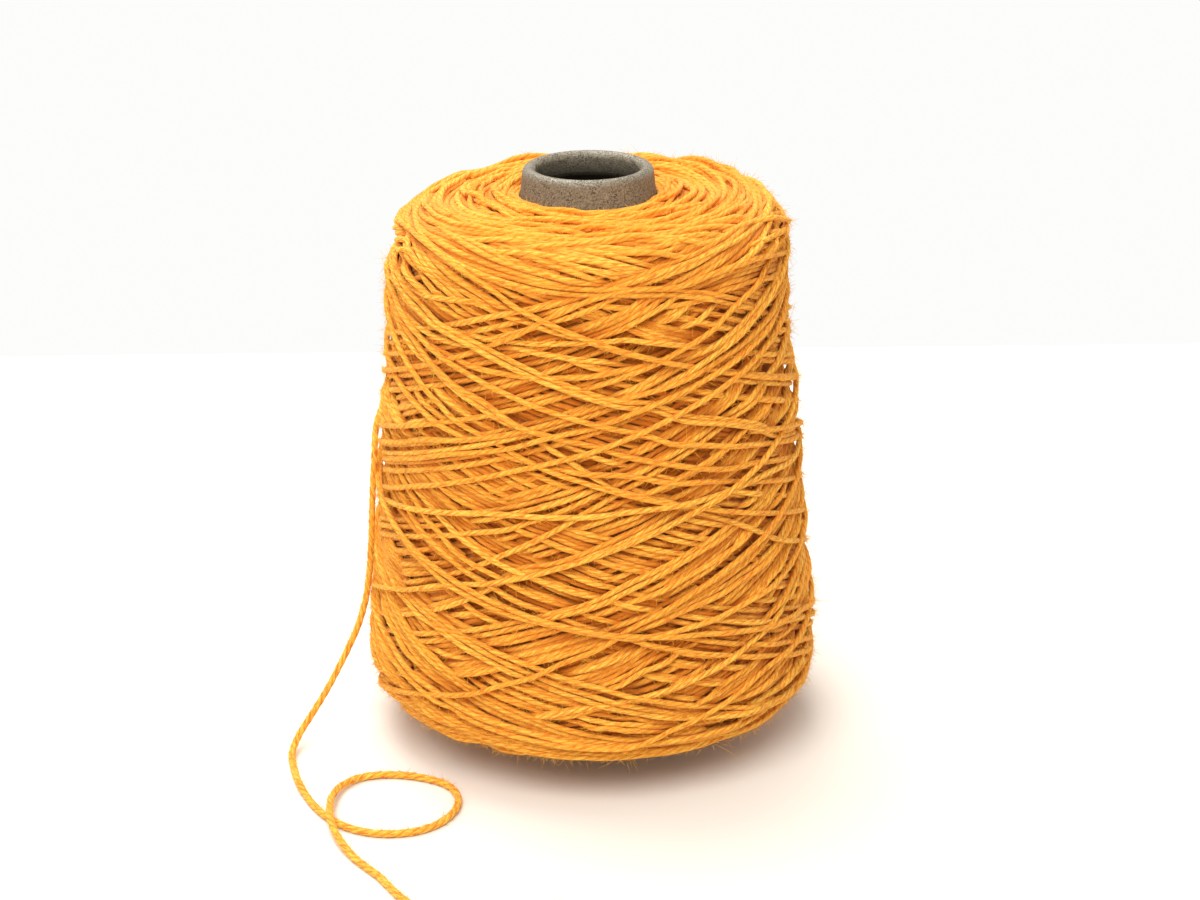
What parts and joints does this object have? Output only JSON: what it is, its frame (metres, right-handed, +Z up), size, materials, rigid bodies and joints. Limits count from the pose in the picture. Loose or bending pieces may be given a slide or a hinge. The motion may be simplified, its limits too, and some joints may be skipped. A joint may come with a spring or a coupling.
{
  "type": "cone of yarn",
  "caption": "Cross-wound package of golden plied yarn on a tapered pulp core, standing on its base, with a loose end that hangs down and lies in a loop.",
  "frame": {"origin": "centre of the core's base ring, on the surface that the cone stands on", "axes": "+Z up along the core's axis, towards its nose; the loose end leaves the package on the -X side and lies towards -Y"},
  "size_m": [0.1563, 0.197, 0.1699],
  "materials": {
    "moulded_pulp": "speckled grey-brown moulded pulp, matt, slightly burnished on the rim",
    "wound_yarn": "matt plied yarn, golden yellow, a little fuzzy",
    "loose_yarn": "matt three-ply yarn, golden yellow, a little fuzzy"
  },
  "bodies": {
    "root": {"core": "moulded_pulp", "yarn_package": "wound_yarn", "loose_end": "loose_yarn"}
  },
  "joints": []
}
